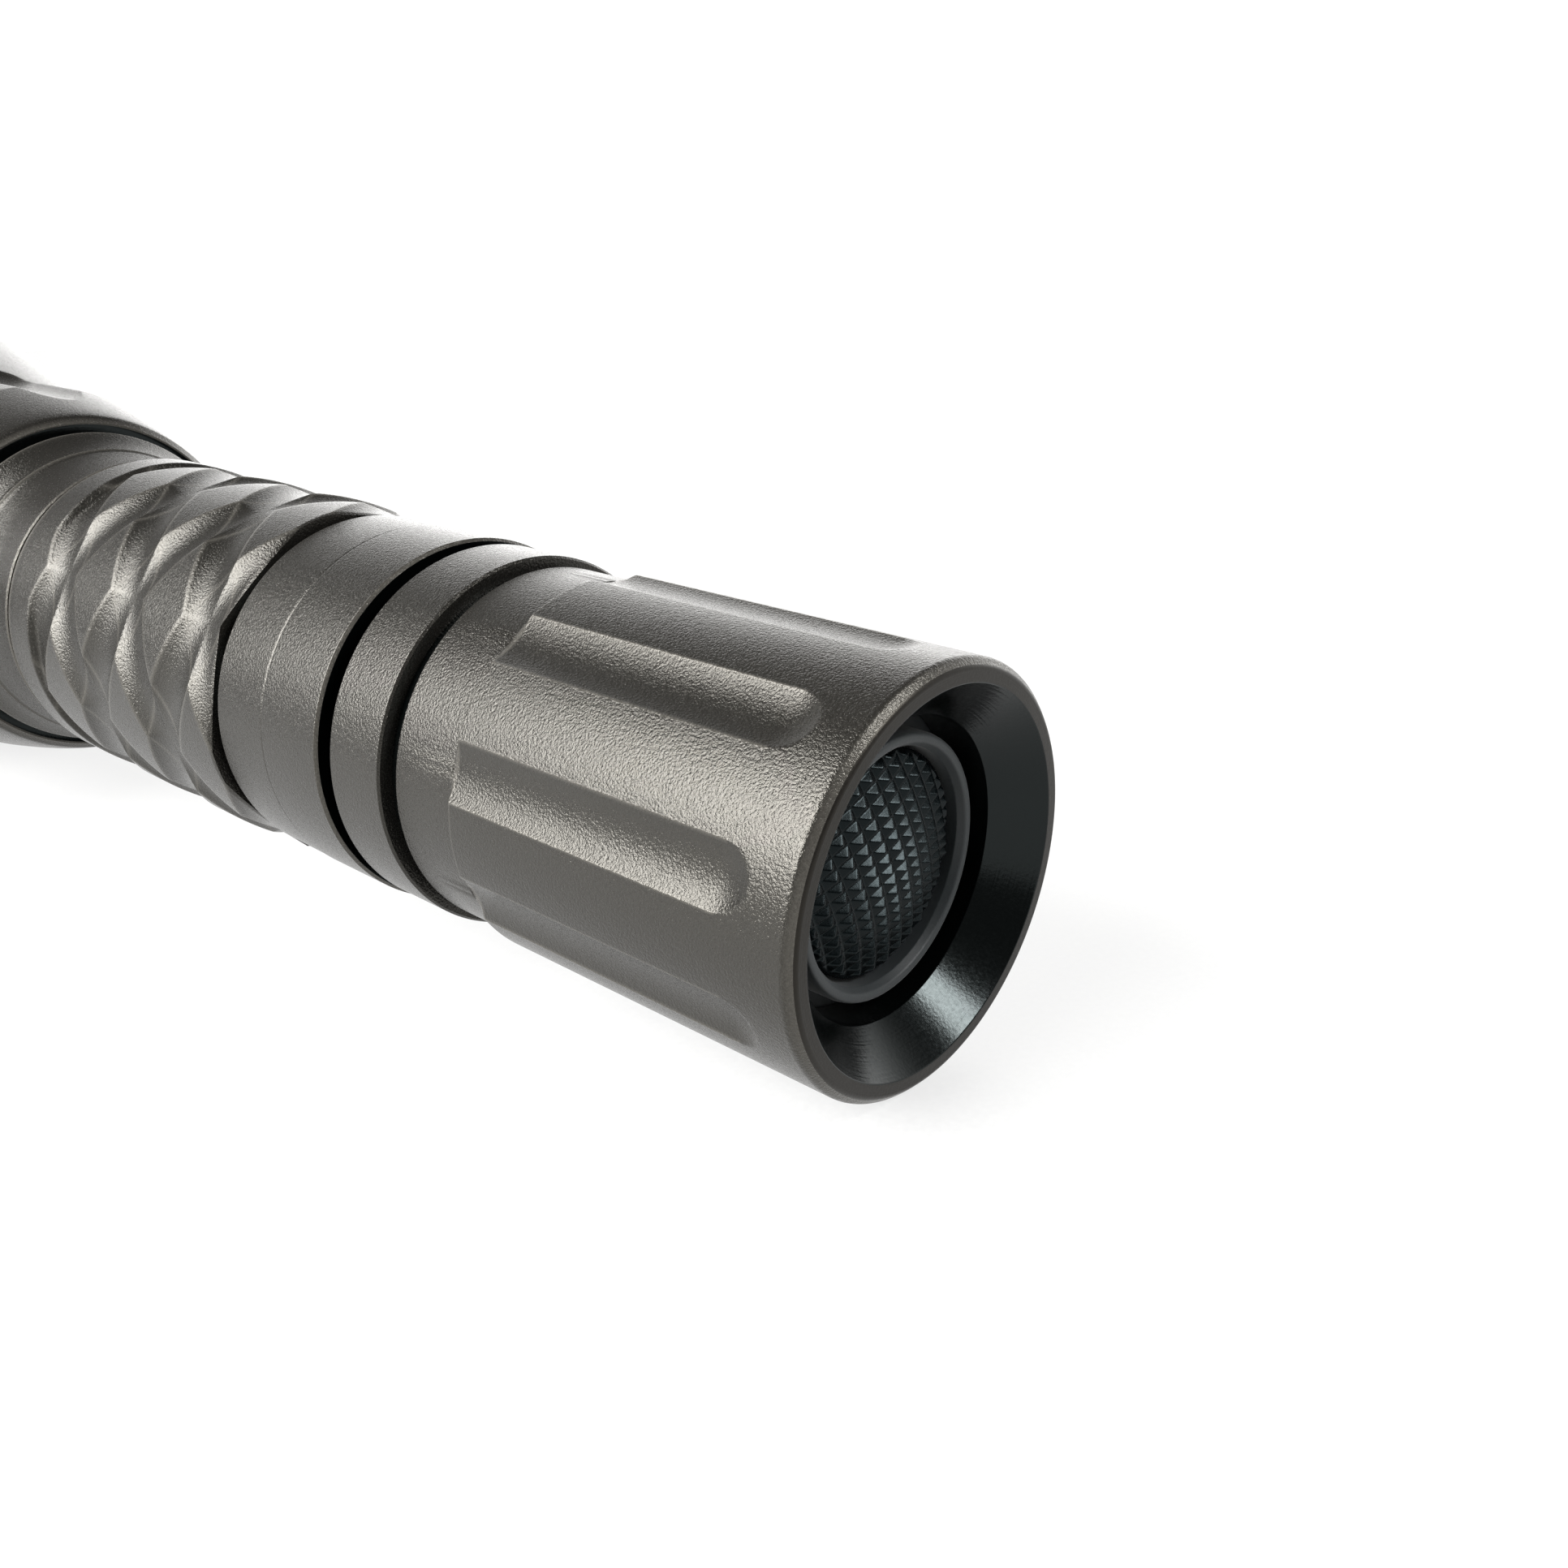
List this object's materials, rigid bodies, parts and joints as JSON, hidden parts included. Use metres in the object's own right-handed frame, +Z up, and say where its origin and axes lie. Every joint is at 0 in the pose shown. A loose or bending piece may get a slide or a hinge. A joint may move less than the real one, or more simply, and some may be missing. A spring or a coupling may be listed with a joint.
{
  "type": "tactical flashlight",
  "caption": "Hand torch with a screw-on fluted tail cap, recessed rubber push button, crossing helical grip cuts on the barrel and a large fluted head that flares out to its reflector and lens.",
  "frame": {"origin": "Middle of the bounding box's bottom face, directly under the light's own axis.", "axes": "The light lies on its side. +X runs along its axis from the head to the tail button, so the beam leaves along -X. +Z is up. +Y is across, level."},
  "size_m": [0.16, 0.0508, 0.0508],
  "materials": {
    "anodised_body": "matte grey hard anodising over blasted aluminium",
    "boot_rubber": "satin dark blue-grey silicone rubber",
    "seal_rubber": "greased black rubber",
    "black_plastic": "moulded black plastic",
    "spring_steel": "drawn and plated wire or strip",
    "brass": "turned brass",
    "cell_wrap": "shrink-wrapped can",
    "green_board": "solder-masked board",
    "white_board": "white-masked metal-core board",
    "bare_aluminium": "turned bare aluminium",
    "led_ceramic": "fired white ceramic",
    "led_silicone": "clear silicone over yellow phosphor",
    "mirror_coat": "vacuum-metallised cup",
    "lens_glass": "coated flat glass"
  },
  "bodies": {
    "body": {"barrel": "anodised_body", "rear_cell": "cell_wrap", "front_cell": "cell_wrap", "tail_seal": "seal_rubber", "head_seal": "seal_rubber"},
    "tail_contact": {"tail_spring": "spring_steel"},
    "cap": {"tail_cap": "anodised_body", "switch_boot": "boot_rubber", "boot_washer": "spring_steel", "switch_body": "black_plastic", "switch_retainer": "brass", "switch_contact": "brass"},
    "button": {"button_pad": "boot_rubber", "button_pusher": "black_plastic"},
    "head_contact": {"driver_spring": "spring_steel"},
    "head": {"head_shell": "anodised_body", "driver_board": "green_board", "heat_sink": "bare_aluminium", "led_board": "white_board", "led_package": "led_ceramic", "led_dome": "led_silicone", "led_gasket": "black_plastic", "reflector": "mirror_coat", "lens": "lens_glass", "lens_seal": "seal_rubber", "bezel_seal": "seal_rubber", "bezel_ring": "anodised_body"}
  },
  "joints": [
    {"name": "cap_advance", "type": "slide", "parent": "body", "child": "tail_contact", "axis": [1, 0, 0], "range_m": [0, 0.006]},
    {"name": "cap_turn", "type": "hinge", "parent": "tail_contact", "child": "cap", "pos_m": [0.08, 0, 0.0254], "axis": [1, 0, 0], "range_deg": [0, 1440]},
    {"name": "button_press", "type": "slide", "parent": "cap", "child": "button", "axis": [-1, 0, 0], "range_m": [0, 0.0018], "stiffness_N_per_m": 1500, "springref_m": -0.0015},
    {"name": "head_advance", "type": "slide", "parent": "body", "child": "head_contact", "axis": [-1, 0, 0], "range_m": [0, 0.003]},
    {"name": "head_turn", "type": "hinge", "parent": "head_contact", "child": "head", "pos_m": [-0.08, 0, 0.0254], "axis": [-1, 0, 0], "range_deg": [0, 720]}
  ],
  "couplings": [
    {"joint": "cap_turn", "follows": "cap_advance", "rad_per_m": 4188.8},
    {"joint": "head_turn", "follows": "head_advance", "rad_per_m": 4188.8}
  ]
}
